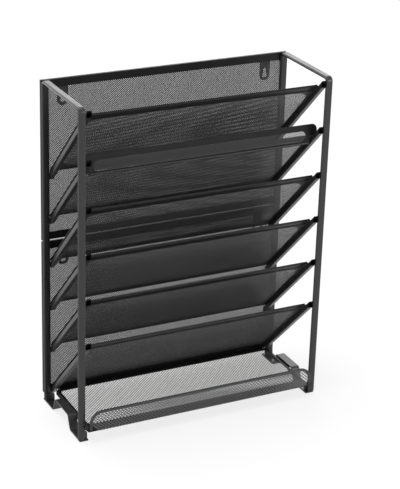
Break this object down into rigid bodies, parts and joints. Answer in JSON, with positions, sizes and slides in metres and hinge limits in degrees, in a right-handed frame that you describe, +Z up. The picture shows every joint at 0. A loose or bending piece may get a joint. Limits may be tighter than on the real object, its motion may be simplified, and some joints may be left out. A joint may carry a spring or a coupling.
{
  "type": "file organizer rack",
  "caption": "Desk or wall file rack: flat tube side frames carry slanted mesh letter trays and a flat bottom tray with a wire-rimmed front, before mesh back panels with keyhole hang tabs.",
  "frame": {"origin": "middle of the footprint, on the surface that the feet stand on", "axes": "+Z up the rack, +Y from the open front to the wall, +X to the right as seen from the front"},
  "size_m": [0.356, 0.139, 0.46],
  "materials": {
    "coated_tube": "satin black powder coat on flat tube and wire",
    "coated_sheet": "satin black powder coat on pressed sheet",
    "coated_mesh": "black powder coat on expanded steel mesh",
    "black_screw": "black coated pan head screw"
  },
  "bodies": {
    "root": {"side_frame_left": "coated_tube", "side_frame_right": "coated_tube", "foot_strip_left": "coated_sheet", "foot_strip_right": "coated_sheet", "tray_rail_left_1": "coated_tube", "tray_rail_left_2": "coated_tube", "tray_rail_left_3": "coated_tube", "tray_rail_left_4": "coated_tube", "tray_rail_left_5": "coated_tube", "tray_rail_left_6": "coated_tube", "tray_rail_right_1": "coated_tube", "tray_rail_right_2": "coated_tube", "tray_rail_right_3": "coated_tube", "tray_rail_right_4": "coated_tube", "tray_rail_right_5": "coated_tube", "tray_rail_right_6": "coated_tube", "tray_1_frame": "coated_sheet", "tray_2_frame": "coated_sheet", "tray_3_frame": "coated_sheet", "tray_4_frame": "coated_sheet", "tray_5_frame": "coated_sheet", "tray_6_frame": "coated_sheet", "tray_1_mesh": "coated_mesh", "tray_2_mesh": "coated_mesh", "tray_3_mesh": "coated_mesh", "tray_4_mesh": "coated_mesh", "tray_5_mesh": "coated_mesh", "tray_6_mesh": "coated_mesh", "tray_2_front_frame": "coated_sheet", "tray_2_front_mesh": "coated_mesh", "back_frame_upper": "coated_sheet", "back_frame_lower": "coated_sheet", "back_mesh_upper": "coated_mesh", "back_mesh_lower": "coated_mesh", "hang_tab_upper_left": "coated_sheet", "hang_tab_upper_right": "coated_sheet", "hang_tab_lower_left": "coated_sheet", "hang_tab_lower_right": "coated_sheet", "back_screw_upper_left_1": "black_screw", "back_screw_upper_left_2": "black_screw", "back_screw_upper_right_1": "black_screw", "back_screw_upper_right_2": "black_screw", "back_screw_lower_left_1": "black_screw", "back_screw_lower_left_2": "black_screw", "back_screw_lower_right_1": "black_screw", "back_screw_lower_right_2": "black_screw", "bottom_tray_frame": "coated_sheet", "bottom_tray_mesh": "coated_mesh", "bottom_tray_rim": "coated_tube", "bottom_tray_front_mesh": "coated_mesh", "bottom_tray_screw_left_1": "black_screw", "bottom_tray_screw_left_2": "black_screw", "bottom_tray_screw_right_1": "black_screw", "bottom_tray_screw_right_2": "black_screw"}
  },
  "joints": []
}
